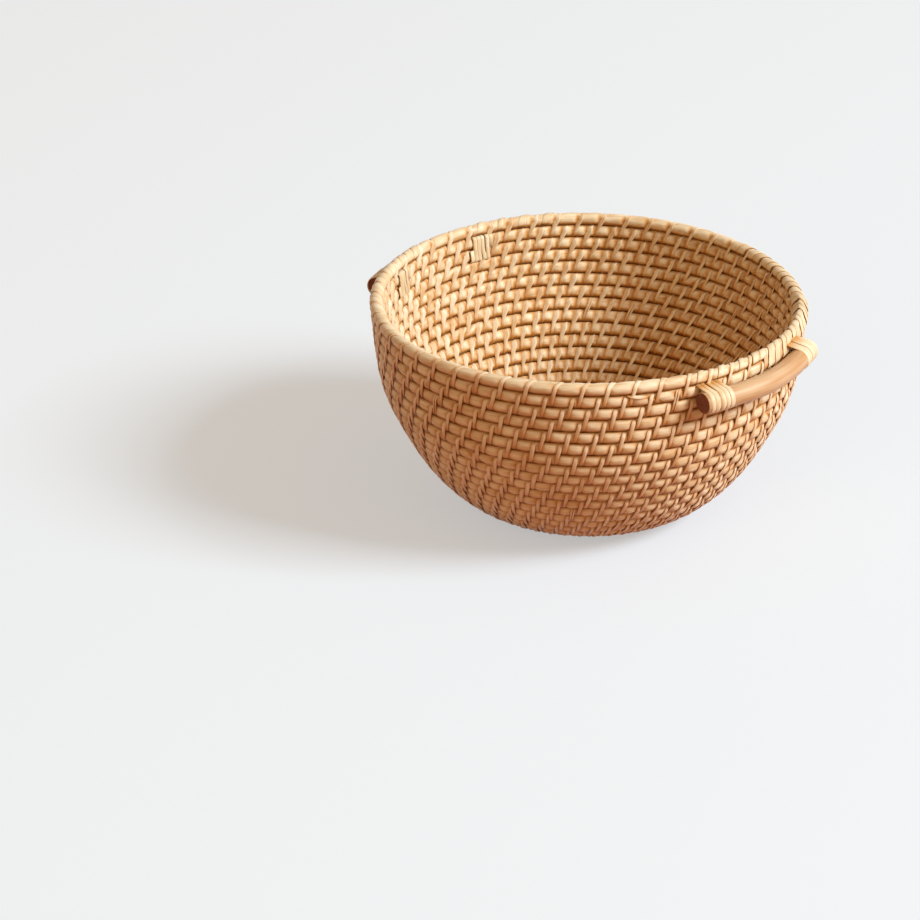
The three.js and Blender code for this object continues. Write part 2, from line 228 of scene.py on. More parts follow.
class Wall:
    """The profile of the wall, with places given along it, round it and out from it"""

    def __init__(self, coil):
        self.coil = coil
        self.arcs = list(zip(coil.arc_lengths, coil.arc_rises))
        self.length = coil.base_radius + sum(coil.arc_lengths)
        self.pitch = coil.pitch
        self.press = coil.pitch / 2 + TOUCH
        lines = int(self.length / TABLE_STEP) + TABLE_ROOM
        self.table = [self.traced(index * TABLE_STEP) for index in range(lines)]

    def traced(self, distance):
        """Radius, height and rise of the canes' middle at a distance along the profile from the axis"""
        radius = min(distance, self.coil.base_radius)
        height = self.coil.base_level
        rise = 0.0
        left = distance - self.coil.base_radius
        for length, end in self.arcs:
            if left <= 0:
                break
            run = min(left, length)
            half = (end - rise) * run / length / 2
            chord = run * math.sin(half) / half if half else run
            radius += chord * math.cos(rise + half)
            height += chord * math.sin(rise + half)
            rise += 2 * half
            left -= run
        if left > 0:
            radius += left * math.cos(rise)
            height += left * math.sin(rise)
        return radius, height, rise

    def profile(self, distance):
        """As traced, read between the lines of a table"""
        place = max(0.0, distance / TABLE_STEP)
        index = int(place)
        share = place - index
        return [low + (high - low) * share for low, high in zip(self.table[index], self.table[index + 1])]

    def distance(self, turn):
        """Distance along the profile of the coil's middle"""
        return self.length - self.pitch * turn

    def run(self, turn):
        """Length of a whole turn at a place on the coil"""
        return 2 * math.pi * self.profile(self.distance(turn))[0]

    def place(self, azimuth, distance, out):
        """A point at an azimuth and a distance along the profile, out of the wall by out"""
        radius, height, rise = self.profile(distance)
        radius += out * math.sin(rise)
        height -= out * math.cos(rise)
        return Vector((radius * math.cos(azimuth), radius * math.sin(azimuth), height))

    def way(self, azimuth, distance, out_share, up_share):
        """A direction given by its shares out of the wall and up along it"""
        rise = self.profile(distance)[2]
        radial = Vector((math.cos(azimuth), math.sin(azimuth), 0))
        out = radial * math.sin(rise) - Vector((0, 0, math.cos(rise)))
        up = radial * math.cos(rise) + Vector((0, 0, math.sin(rise)))
        return (out * out_share + up * up_share).normalized()

    def point(self, turn, up, out):
        """A point above the coil's middle by up, along the wall, and out of the wall by out"""
        return self.place(-2 * math.pi * turn, self.distance(turn) + up, out)

    def normal(self, turn, up, out_share, up_share):
        """A direction at a place on the coil"""
        return self.way(-2 * math.pi * turn, self.distance(turn) + up, out_share, up_share)

    def section(self, turn):
        """How far a cane's widest line lies below the coil's middle, and its reach above and out of it"""
        coil = self.coil
        taper = max(0.0, 1 - max(0.0, turn) / coil.tip_turn)
        lowered = coil.tip_drop / 2 * taper
        pressed = ease((turn - 1) / PRESS_RAMP)
        cover = covered(turn) * WRAP_ROOM
        above = coil.top_height + (coil.cane_height / 2 - coil.top_height) * pressed - lowered - cover
        out = coil.cane_depth / 2 * math.sqrt(1 - TIP_THINNING * taper) - cover
        return lowered, above, out

    def last_turn(self):
        """Where the coil starts in the base, in turns behind the tip"""
        return (self.length - self.coil.core_radius) / self.pitch


# Stitches: where each strip lies along the coil

STITCH_SEED = 7
WIDTHS = (0.9, 1.1)  # from the narrowest strip to the widest, in the width that is set
PROUD = (-0.00009, 0.00003)  # how far a strip stands out, from the deepest to the proudest
LEANS = (-0.03, 0.03)  # how far a strip leans off the rule, in stitches


class Stitch:
    """One loop of peel round a turn and the turn below"""

    def __init__(self, turn, gap, rng, settings):
        self.gap = gap
        self.turn = turn + gap * rng.uniform(-settings.wander, settings.wander)
        self.tone = rng.random()
        self.width = rng.uniform(*WIDTHS)
        self.doubled = rng.random() < settings.doubled
        self.proud = rng.uniform(*PROUD)
        self.lean = rng.uniform(*LEANS)


# The coil is stitched at every second or fourth radial line in the base, where the lines are close
HALVED_RADIUS = 0.047
QUARTERED_RADIUS = 0.0235
LAST_STITCH_RADIUS = 0.0085


def stitch_plan(wall, settings):
    """All stitches from the tip to the middle of the base"""
    rng = random.Random(STITCH_SEED)
    plan = []
    turn = settings.first / settings.per_turn
    while wall.distance(turn) > LAST_STITCH_RADIUS:
        near = wall.distance(turn)
        share = 1
        if near < HALVED_RADIUS:
            share = 2
        if near < QUARTERED_RADIUS:
            share = 4
        gap = share / settings.per_turn
        plan.append(Stitch(turn, gap, rng, settings))
        turn += gap
    return plan


class Crossings:
    """Places along the coil where strips press on a cane, on one face of the wall"""

    def __init__(self, places):
        self.places = sorted(places)

    def nearest(self, turn):
        """Distance to the nearest strip, in turns"""
        index = bisect(self.places, turn)
        around = self.places[max(0, index - 1):index + 1]
        return min((abs(turn - place) for place in around), default=1.0)


class Press:
    """How strips press on the canes, outside, inside and on top"""

    def __init__(self, plan, settings):
        over = (1 - settings.lean_outside - settings.lean_inside) / 2
        own_inside = settings.lean_outside + over
        low_inside = own_inside + settings.lean_inside
        outside = []
        inside = []
        top = []
        for stitch in plan:
            dug = stitch.turn - DIG * stitch.gap
            outside += [stitch.turn - settings.lean_outside * stitch.gap, stitch.turn + 1]
            inside += [dug - own_inside * stitch.gap, dug + 1 - low_inside * stitch.gap]
            top.append(stitch.turn - (settings.lean_outside + over / 2) * stitch.gap)
        self.faces = (Crossings(outside), Crossings(inside), Crossings(top))

    def at(self, turn, run):
        """How much a cane is pressed in outside, inside and on top, from 0 to 1"""
        pressed = []
        for face, reach in zip(self.faces, STRIP_REACHES):
            pressed.append(math.exp(-((face.nearest(turn) * run / reach) ** 2)))
        return pressed


STRIP_REACHES = (0.0023, 0.0021, 0.0028)  # how far beside a strip it presses: outside, inside, on top
DIG = 0.09  # how far beside a strip's middle it presses inside, where one of its edges digs in, in stitches

# Where the top turn is wrapped: from one turn to another, with how many wraps between two stitches
WRAPPED = (
    (-0.02, 0.11, 2),
    (0.11, 0.165, 1),
    (0.42, 0.585, 2),
    (0.655, 0.725, 1),
    (0.88, 0.995, 2),
)
WRAP_ROOM = 0.00028  # by which a closely wrapped cane is pared
PARING = 0.01  # turns over which it is pared at each end of its wrapping
TIP_WRAPPED = 0.11  # up to here the wraps hold the pared tip and the turn below together
RAMP = 0.0095  # turns past the tip's end over which the wraps run down onto the turn below
RIM_END = 1.02  # turns behind the tip, up to where the top of the coil is free


def wraps_between(turn):
    """How many wraps lie between two stitches of the top turn"""
    return max([count for start, end, count in WRAPPED if start <= turn < end], default=0)


def covered(turn):
    """How closely the top turn is wrapped, from 0 to 1"""
    share = 0.0
    for start, end, count in WRAPPED:
        if count > 1:
            begun = ease((turn - start + PARING) / PARING)
            left = ease((end + PARING - turn) / PARING)
            share = max(share, min(begun, left))
    return share


# Meshes


class Ring(NamedTuple):
    """Corners round a strip or cane, with the place of each in the grain, its painted shade and a tone for
    all
    """

    corners: list
    grains: list
    painted_shades: list
    tone: float


def add_tube(bm, rings):
    """A closed tube through rings of equal numbers of corners"""
    grain = bm.verts.layers.float_vector["grain"]
    tone = bm.verts.layers.float["tone"]
    stain = bm.verts.layers.float["stain"]
    sides = len(rings[0].corners)
    made = bmesh.ops.create_grid(bm, x_segments=sides, y_segments=len(rings) - 1, size=1.0)["verts"]
    for index, vert in enumerate(made):
        row, column = divmod(index, sides + 1)
        ring = rings[row]
        vert.co = ring.corners[column % sides]
        vert[grain] = ring.grains[column % sides]
        vert[stain] = ring.painted_shades[column % sides]
        vert[tone] = ring.tone


WELD = 1e-7  # within which the corners of a seam are joined


def tubes_bmesh(tubes):
    """A mesh of closed tubes, each given by its rings, and the faces of their ends"""
    bm = bmesh.new()
    bm.verts.layers.float_vector.new("grain")
    bm.verts.layers.float.new("tone")
    # painted shade: how much shade is painted at each corner, from 0 to 1
    bm.verts.layers.float.new("stain")
    for rings in tubes:
        add_tube(bm, rings)
    bmesh.ops.remove_doubles(bm, verts=bm.verts[:], dist=WELD)
    open_edges = [edge for edge in bm.edges if edge.is_boundary]
    ends = bmesh.ops.holes_fill(bm, edges=open_edges, sides=0)["faces"]
    bmesh.ops.recalc_face_normals(bm, faces=bm.faces[:])
    for vert in bm.verts:
        vert.co.z = max(vert.co.z, 0.0)  # the face that the bowl stands on is flat
    return bm, ends


def add_piece(name, tubes, materials, nodes=()):
    """Makes a shown piece of tubes that rides on the bowl, and whose ends get the last material"""
    bm, ends = tubes_bmesh(tubes)
    for face in bm.faces:
        face.smooth = len(face.verts) == 4
    for face in ends:
        face.material_index = len(materials) - 1
    mesh = bpy.data.meshes.new(name)
    bm.to_mesh(mesh)
    bm.free()
    for material in materials:
        mesh.materials.append(material)
    piece = bpy.data.objects.new(name, mesh)
    bpy.context.scene.collection.objects.link(piece)
    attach(piece, "root")
    if nodes:
        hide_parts(*nodes)


# Materials


class Term:
    """A node's output in an expression: the operators add Math nodes"""

    def __init__(self, finish, socket):
        self.finish = finish
        self.socket = socket

    def math(self, operation, first, second):
        return self.finish.node("ShaderNodeMath", {"operation": operation}, {0: first, 1: second})

    def __add__(self, other):
        return self.math("ADD", self, other)

    def __radd__(self, other):
        return self.math("ADD", other, self)

    def __sub__(self, other):
        return self.math("SUBTRACT", self, other)

    def __rsub__(self, other):
        return self.math("SUBTRACT", other, self)

    def __mul__(self, other):
        return self.math("MULTIPLY", self, other)

    def __rmul__(self, other):
        return self.math("MULTIPLY", other, self)

    def between(self, low, high):
        """A soft step from 0 at low to 1 at high"""
        settings = {"interpolation_type": "SMOOTHSTEP", "clamp": True}
        sockets = {"Value": self, "From Min": low, "From Max": high}
        return self.finish.node("ShaderNodeMapRange", settings, sockets)

    def times(self, scales):
        """A vector scaled by a scale for each axis"""
        return self.finish.node("ShaderNodeVectorMath", {"operation": "MULTIPLY"}, {0: self, 1: scales})


class Finish:
    """A material or world whose nodes come from expressions"""

    def __init__(self, owner, shader="Principled BSDF"):
        self.owner = owner
        self.owner.use_nodes = True
        self.tree = self.owner.node_tree
        self.shader = self.tree.nodes[shader]

    def node(self, kind, settings, sockets, output=0):
        """A node of a type, its settings made first, then the values or links of its sockets"""
        node = self.tree.nodes.new(kind)
        for name, value in settings.items():
            if name == "stops":
                self.set_stops(node.color_ramp, value)
            else:
                setattr(node, name, value)
        for key, value in sockets.items():
            self.feed(node.inputs[key], value)
        return Term(self, node.outputs[output])

    def set_stops(self, ramp, stops):
        while len(ramp.elements) < len(stops):
            ramp.elements.new(1.0)
        for element, (place, colour) in zip(ramp.elements, stops):
            element.position = place
            element.color = (*colour, 1.0)

    def feed(self, socket, value):
        if isinstance(value, Term):
            self.tree.links.new(value.socket, socket)
        else:
            socket.default_value = value

    def attribute(self, name, output="Fac"):
        return self.node("ShaderNodeAttribute", {"attribute_name": name}, {}, output)

    def place(self):
        return self.node("ShaderNodeTexCoord", {}, {}, "Object")

    def noise(self, vector, scale, detail=2.0, roughness=0.55):
        sockets = {"Vector": vector, "Scale": scale, "Detail": detail, "Roughness": roughness}
        return self.node("ShaderNodeTexNoise", {}, sockets, "Fac")

    def mix(self, share, first, second, blend="MIX"):
        settings = {"data_type": "RGBA", "blend_type": blend, "clamp_factor": True}
        return self.node("ShaderNodeMix", settings, {0: share, 6: first, 7: second}, 2)

    def ramp(self, share, dark, light):
        stops = [(0.0, dark), (1.0, light)]
        return self.node("ShaderNodeValToRGB", {"stops": stops}, {"Fac": share}, "Color")

    def bump(self, height, distance, strength=1.0):
        return self.node("ShaderNodeBump", {}, {"Height": height, "Distance": distance, "Strength": strength})

    def surface(self, **sockets):
        """Feeds the shader: each name is a socket's, with spaces as underscores"""
        for name, value in sockets.items():
            self.feed(self.shader.inputs[name.replace("_", " ")], value)
        return self.owner


def solid(colour):
    """A colour with its alpha"""
    return (*colour, 1.0)


class Fibres(NamedTuple):
    """Fibres and streaks to a metre across the grain and along it, their roughness, coat and height"""

    across: float
    along: float
    roughness: float
    coat: float
    height: float


def fibrous(name, colours, dark, light, fibres):
    """Rattan whose fibres run along its grain, with painted shade, amber where it is light and dark in the
    grooves, and faint random amber patches
    """
    finish = Finish(bpy.data.materials.new(name))
    grain = finish.attribute("grain", "Vector")
    tone = finish.attribute("tone")
    stain = finish.attribute("stain")
    across = fibres.across
    along = fibres.along
    fine = finish.noise(grain.times((across, across, along)), 1.0, 3.0, 0.65)
    broad = finish.noise(grain.times((across * 0.2, across * 0.2, along * 1.1)), 1.0, 2.0)
    patch = finish.noise(finish.place(), 26.0, 2.0)
    share = (fine * 0.6 + broad * 1.0 + patch * 0.5 + tone * 0.24).between(0.8, 1.52)
    colour = finish.ramp(share, dark, light)
    speck = finish.noise(grain.times((across * 1.7, across * 1.7, along * 3.5)), 1.0, 1.0).between(0.68, 0.8)
    # dark specks of the grain, a real mark, in the dark colour of the painted shade
    colour = finish.mix(speck * 0.35, colour, solid(colours.stain))
    cloud = finish.noise(finish.place(), 300.0, 2.0)
    # Painted shade: amber where the mesh marks light shade, dark where it marks deep shade in grooves, beside
    # strips and along strip edges; the cloud adds faint random patches
    shade_and_varnish = stain + cloud * 0.3 - 0.15
    colour = finish.mix(shade_and_varnish.between(0.0, 0.6), colour, solid(colours.amber), "MULTIPLY")
    colour = finish.mix(shade_and_varnish.between(0.35, 1.05) * 0.94, colour, solid(colours.stain))
    return finish.surface(
        Base_Color=colour,
        Roughness=fibres.roughness + 0.22 * fine - 0.1,
        Normal=finish.bump(fine * 0.8 + broad * 0.5, fibres.height, 0.6),
        Specular_IOR_Level=0.16,
        Coat_Weight=fibres.coat,
        Coat_Roughness=0.5,
    )


def core_finish(colours):
    fibres = Fibres(1900.0, 60.0, 0.5, 0.5, 0.0002)
    return fibrous("rattan_core", colours, colours.core_dark, colours.core_light, fibres)


def peel_finish(colours):
    fibres = Fibres(2600.0, 90.0, 0.45, 0.6, 0.00014)
    return fibrous("rattan_peel", colours, colours.peel_dark, colours.peel_light, fibres)


def wrap_finish(colours):
    fibres = Fibres(2600.0, 80.0, 0.45, 0.5, 0.00014)
    return fibrous("wrap_peel", colours, colours.wrap_dark, colours.wrap_light, fibres)


def pole_finish(colours):
    fibres = Fibres(900.0, 22.0, 0.42, 0.4, 0.0001)
    return fibrous("rattan_pole", colours, colours.pole_dark, colours.pole_light, fibres)


def end_finish(colours):
    """A pole's cut end: dark wood full of pores"""
    finish = Finish(bpy.data.materials.new("pole_end"))
    pores = finish.node(
        "ShaderNodeTexVoronoi", {"feature": "F1"}, {"Vector": finish.place(), "Scale": 2100.0}, "Distance"
    ).between(0.12, 0.4)
    cloud = finish.noise(finish.place(), 420.0, 3.0)
    colour = finish.ramp((pores * 0.6 + cloud * 0.7).between(0.3, 1.1), colours.end_dark, colours.end_light)
    return finish.surface(Base_Color=colour, Roughness=0.85 - 0.15 * cloud, Normal=finish.bump(pores, 0.0002))


# Canes

RING_STEP = 0.0007  # along a cane from ring to ring
INSIDE_PINCH = 1.2  # how much a strip presses inside, in its press outside
TOP_PINCH = 0.6  # the same on top of the rim
GRAIN_SECTION = (0.0036, 0.0033)  # half the depth and height of a cane in the grain of its core
GROOVE_BELOW = 0.02  # where the painted shade of the lower side starts, down to the groove below, in half heights of the cane
GROOVE_ABOVE = 0.66  # the same, up to the groove above
OUTSIDE_PINCH_SHADE = 0.62  # painted shade of a cane beside a strip that pinches it, outside
INSIDE_PINCH_SHADE = 0.45
SKEWED = 0.02  # how far from a splice its slant dies away


def cane_ring(wall, turn, press, skew, along, shade):
    """One ring round a cane, pinched under the strips, and skewed along the coil at a splice"""
    coil = wall.coil
    lowered, above, deep = wall.section(turn)
    run = wall.run(turn)
    outside, inside, top = press.at(turn, run)
    if turn > RIM_END:
        top = 0.0
    ring = Ring([], [], [], shade)
    for side in range(coil.sides):
        angle = 2 * math.pi * side / coil.sides
        out_share = math.cos(angle)
        up_share = math.sin(angle)
        pinch = outside if out_share > 0 else inside * INSIDE_PINCH
        out = (deep - coil.pinch * pinch) * out_share
        slip = skew * up_share / run
        if up_share > 0:
            up = min(wall.press, (above - coil.pinch * TOP_PINCH * top) * up_share - lowered)
        else:
            up = max(-wall.press, (coil.cane_height / 2 - lowered) * up_share - lowered)
        ring.corners.append(wall.point(turn + slip, up, out))
        ring.grains.append(Vector((out_share * GRAIN_SECTION[0], up_share * GRAIN_SECTION[1], along)))
        # Painted shade: a cane darkens over its lower side towards the groove below, near its top towards the
        # groove above, and beside each strip that pinches it
        groove = ease((GROOVE_BELOW - up_share) / (1 + GROOVE_BELOW))
        if up_share > 0 and turn > 1:
            groove = ease((up_share - GROOVE_ABOVE) / (1 - GROOVE_ABOVE))
        pinch_shade = OUTSIDE_PINCH_SHADE if out_share > 0 else INSIDE_PINCH_SHADE
        ring.painted_shades.append(max(groove, pinch_shade * pinch * abs(out_share)))
    return ring


def cane_rings(wall, start, end, press, skews):
    """Rings of one cane, from a place along the coil back to another, both in turns"""
    length = wall.coil.splice_length
    rng = random.Random(round(start * 1000))
    shade = rng.uniform(0.25, 0.75)
    along = rng.uniform(0, 5)
    rings = []
    turn = start
    while True:
        run = wall.run(turn)
        skew = skews[0] * length * (1 - ease((turn - start) * run / SKEWED))
        skew += skews[1] * length * (1 - ease((end - turn) * run / SKEWED))
        rings.append(cane_ring(wall, turn, press, skew, along, shade))
        if turn >= end:
            return rings
        turn = min(end, turn + RING_STEP / run)
        along += RING_STEP


CUT_STEPS = 2000  # in which the wall's coil is measured


def cane_cuts(wall):
    """Where each cane ends, in turns behind the tip: one cane for the base, equally long ones for the wall"""
    coil = wall.coil
    foot = (wall.length - coil.base_radius) / coil.pitch
    lengths = [0.0]
    for step in range(CUT_STEPS):
        lengths.append(lengths[-1] + wall.run(foot * (step + 0.5) / CUT_STEPS) * foot / CUT_STEPS)
    count = max(2, round(lengths[-1] / coil.cane_length))
    cuts = [0.0]
    for cane in range(1, count):
        cuts.append(foot * bisect(lengths, lengths[-1] * cane / count) / CUT_STEPS)
    return [*cuts, foot, wall.last_turn()]


class BOWL_OT_canes(Operator):
    """Winds the canes of the coil"""

    bl_idname = "bowl.canes"
    bl_label = "Canes"

    def execute(self, context):
        settings = context.scene.bowl
        wall = Wall(settings.coil)
        press = Press(stitch_plan(wall, settings.stitches), settings.stitches)
        material = core_finish(settings.finish)
        cuts = cane_cuts(wall)
        last = len(cuts) - 2
        for index in range(last + 1):
            node = f"wall_cane_{last - index:02d}"
            if index == 0:
                node = "rim_cane"
            if index == last:
                node = "base_cane"
            skews = (float(index > 0), float(index < last))
            rings = cane_rings(wall, cuts[index], cuts[index + 1], press, skews)
            add_piece(f"{node}_round", [rings], [material], [node])
        return {"FINISHED"}


# Stitching

STRAIGHT_STEPS = 4
ARC_STEPS = 8
UNDER_STEPS = 3
OWN_DEPTH = 0.00022  # the middle of a strip under the swell of its own turn
LOW_DEPTH = 0.00042  # the same over the turn below
FLUSH_DEPTH = 0.0004  # the same on the rim, which the strips cross flush
RIM_DIP = 0.0003  # the same on top of the rim
SUNK_DEPTH = 0.00045  # how much deeper a strip lies inside, where it is twisted
TIP_STANDOFF = 0.0006  # how far the strips that hold the pared tip stand off the turn below
TWIST = 0.6  # slope across a strip inside, where its rear edge stands up and the other digs into the cane
SECTION = ((1.0, -0.7), (0.88, 0.15), (0.45, 0.5), (-0.45, 0.5), (-0.88, 0.15), (-1.0, -0.7))
# painted shade along the two edges of a strip's section, where it meets what it lies on
EDGE_SHADES = (1.0, 0.3, 0.0, 0.0, 0.3, 1.0)
RAISED_UNSHADED = 0.7  # how much of its painted edge shade the edge that stands up has lost
OUTSIDE_GROOVE = 0.4  # painted shade of a strip where it comes out of a groove
INSIDE_GROOVE = 0.2
PULLED_IN = 0.2  # how much narrower a strip is on top of its own turn, under the next one, in widths
LOW_TWIST = 0.6  # how much of its twist a strip still has over the turn below
STITCH_GRAIN = 7  # metres of grain between two strips that lie a turn apart
TONE_GRAIN = 3  # metres across the grain from the darkest strip to the lightest

# Widths of a strip, in its width where it crosses its own turn outside
LOW_WIDTH = 0.8
INSIDE_WIDTH = 1.5  # at the top of its turn
LOW_INSIDE_WIDTH = 0.82
TIP_WIDTHS = (1.5, 1.6)  # of those that hold the pared tip, on the turn below and on their own

LEAST_WIDTH = 0.0019
ROOM_SHARE = 0.2  # of the way from stitch to stitch, which is a strip's greatest width in the base
HALVES = ((0.5, 0.28), (0.48, -0.28))  # width and shift of each half of a split strip, in its width
WHOLE = ((1.0, 0.0),)


class Place(NamedTuple):
    """A place on a loop of strip, up the wall and out of it, with the way that the strip faces there"""

    up: float
    out: float
    up_share: float
    out_share: float
    shift: float = 0.0
    width: float = 1.0
    stain: float = 0.0
    twist: float = 0.0


def shares(count, whole=0):
    """Shares of a way in equal steps, from 0 up to 1, which comes only with whole"""
    return [step / count for step in range(count + whole)]


def groove_shade(angle, least):
    """Painted shade of a strip at an angle round the turn below, which is full in the groove"""
    return least + (1 - least) * abs(math.sin(angle)) ** 1.5


def loop_outline(wall, stitch, settings):
    """One loop from the groove under the lower turn, outside, over its own turn and down the inside"""
    lowered, above, deep = wall.section(stitch.turn)
    free = stitch.turn < 1
    holds_tip = stitch.turn < TIP_WRAPPED
    pitch = wall.pitch
    press = wall.press
    full = wall.coil.cane_depth / 2
    top_high = above - RIM_DIP if free else press
    top_deep = min(deep, full) - (FLUSH_DEPTH if free else OWN_DEPTH) + stitch.proud
    low_deep = full - LOW_DEPTH + stitch.proud + (TIP_STANDOFF if holds_tip else 0.0)
    lean = settings.lean_outside + stitch.lean
    over = (1 - lean - settings.lean_inside) / 2
    low_width, own_width = TIP_WIDTHS if holds_tip else (LOW_WIDTH, 1.0)
    outline = []
    for share in shares(UNDER_STEPS):
        angle = -math.pi / 2 * (1 - share)
        up = -pitch + press * math.sin(angle)
        out = low_deep * math.cos(angle)
        shift = -over * (1 - ease(0.5 + share / 2))
        # painted shade: darker as the strip goes round into the groove under the turn below
        stain = groove_shade(angle, OUTSIDE_GROOVE)
        outline.append(Place(up, out, math.sin(angle), math.cos(angle), shift, low_width, stain))
    for share in shares(STRAIGHT_STEPS):
        up = -pitch + share * (pitch - lowered)
        out = low_deep + ease(share) * (top_deep - low_deep)
        width = low_width + (own_width - low_width) * share
        # painted shade, fading as the strip leaves the groove below
        outline.append(Place(up, out, 0, 1, lean * share, width, OUTSIDE_GROOVE * (1 - share)))
    for share in shares(ARC_STEPS):
        angle = math.pi * share
        up = top_high * math.sin(angle) - lowered
        twist = ease(share * 2 - 1)
        out = top_deep * math.cos(angle) + SUNK_DEPTH * twist
        shift = lean + over * ease(share)
        width = own_width + (INSIDE_WIDTH - own_width) * ease(share * 1.3)
        stain = 0.0
        if not free:
            # Painted shadow: a strip darkens at the top of its own turn, where it goes into the groove under
            # the turn above
            stain = math.sin(angle) ** (4 if share < 0.5 else 16)
            width -= PULLED_IN * math.sin(angle) ** 3
        outline.append(Place(up, out, math.sin(angle), math.cos(angle), shift, width, stain, twist))
    for share in shares(STRAIGHT_STEPS):
        up = -lowered - share * (pitch - lowered)
        twist = 1 - (1 - LOW_TWIST) * share
        out = SUNK_DEPTH * twist - top_deep - ease(share) * (low_deep - top_deep)
        shift = lean + over + settings.lean_inside * share
        width = INSIDE_WIDTH - (INSIDE_WIDTH - LOW_INSIDE_WIDTH) * ease(share * 1.25)
        # painted shade, growing as the strip nears the groove below, inside
        outline.append(Place(up, out, 0, -1, shift, width, INSIDE_GROOVE * share, twist))
    for share in shares(UNDER_STEPS, 1):
        angle = math.pi * (1 + share / 2)
        up = -pitch + press * math.sin(angle)
        twist = LOW_TWIST * (1 - share)
        out = (low_deep - SUNK_DEPTH * twist) * math.cos(angle)
        shift = 1 - over * (1 - ease(share / 2))
        # painted shade: darker as the strip goes round into the groove under the turn below, inside
        stain = groove_shade(angle, INSIDE_GROOVE)
        outline.append(Place(up, out, math.sin(angle), math.cos(angle), shift, LOW_WIDTH, stain, twist))
    return outline


class Spot(NamedTuple):
    """A point on the middle line of a strip, with the way it faces, its width, painted shade and twist"""

    point: Vector
    normal: Vector
    width: float
    stain: float
    twist: float = 0.0


def spot_on_coil(wall, turn, place, width):
    """Where a strip lies at a place on the coil"""
    point = wall.point(turn, place.up, place.out)
    normal = wall.normal(turn, place.up, place.out_share, place.up_share)
    return Spot(point, normal, width, place.stain, place.twist)


def way_across(line, index, level):
    """The way across a strip: level along the coil, or square to its line"""
    point = line[index].point
    if level:
        return Vector((point.y, -point.x, 0)).normalized()
    before = line[max(0, index - 1)].point
    after = line[min(len(line) - 1, index + 1)].point
    return line[index].normal.cross(after - before).normalized()


def strip_rings(line, thickness, tone, along, shingle=0.0, edging=1.0, level=True):
    """Rings of a strip along a line of spots, its domed face the way they face"""
    rings = []
    for index, spot in enumerate(line):
        if index:
            along += (spot.point - line[index - 1].point).length
        side = way_across(line, index, level)
        half = spot.width / 2
        ring = Ring([], [], [], tone)
        for (across, high), stain in zip(SECTION, EDGE_SHADES):
            lift = spot.normal * (thickness * high + (shingle + half * spot.twist * TWIST) * across)
            ring.corners.append(spot.point + side * (half * across) + lift)
            ring.grains.append(Vector((half * across, tone * TONE_GRAIN, along)))
            # Painted shade: the edges darken where they meet the cane, less where twisted up, besides the
            # spot's own painted shade
            raised = 1 - RAISED_UNSHADED * spot.twist * (across > 0)
            ring.painted_shades.append(max(stain * edging * raised, spot.stain))
        rings.append(ring)
    return rings


def stitch_rings(wall, stitch, settings, narrow, aside):
    """Rings of one stitch, or of one half of a split one"""
    run = wall.run(stitch.turn)
    width = min(settings.width, max(LEAST_WIDTH, ROOM_SHARE * (run * stitch.gap))) * stitch.width
    line = []
    for place in loop_outline(wall, stitch, settings):
        turn = stitch.turn - place.shift * stitch.gap + aside * width / run
        line.append(spot_on_coil(wall, turn, place, width * narrow * place.width))
    return strip_rings(line, settings.thickness, stitch.tone, stitch.turn * STITCH_GRAIN)


class BOWL_OT_stitching(Operator):
    """Stitches each turn of the coil to the turn below with strips of peel"""

    bl_idname = "bowl.stitching"
    bl_label = "Stitching"

    def execute(self, context):
        settings = context.scene.bowl
        wall = Wall(settings.coil)
        material = peel_finish(settings.finish)
        turns = {}
        for stitch in stitch_plan(wall, settings.stitches):
            strips = turns.setdefault(int(stitch.turn), [])
            for narrow, aside in HALVES if stitch.doubled else WHOLE:
                strips.append(stitch_rings(wall, stitch, settings.stitches, narrow, aside))
        for turn, strips in turns.items():
            add_piece(f"stitching_{turn + 1:02d}", strips, [material])
        return {"FINISHED"}


# Rim

WRAP_SEED = 11
WRAP_WIDTHS = (0.8, 1.2)  # from the narrowest wrap to the widest, in their mean width
LONE_WIDTHS = (0.3, 0.42)  # of a wrap that is alone between two stitches, in its room
WRAP_SIDE_STEPS = 5
WRAP_TOP_STEPS = 8
WRAP_REACH = 80  # degrees below level to which a wrap is followed round the turn that it holds
TIP_LEFT = 30  # degrees above level at which a wrap leaves the pared tip for the turn below
TIP_CLEARANCE = 0.00045  # between such a wrap and the turn below
OVERLAP = 1.04  # width of a wrap or loop, in the room that it has
WRAP_GRAIN = 9  # metres of grain between two wraps that lie a turn apart
WRAP_EDGING = 0.6  # painted edge shade of a wrap, in that of a stitch's


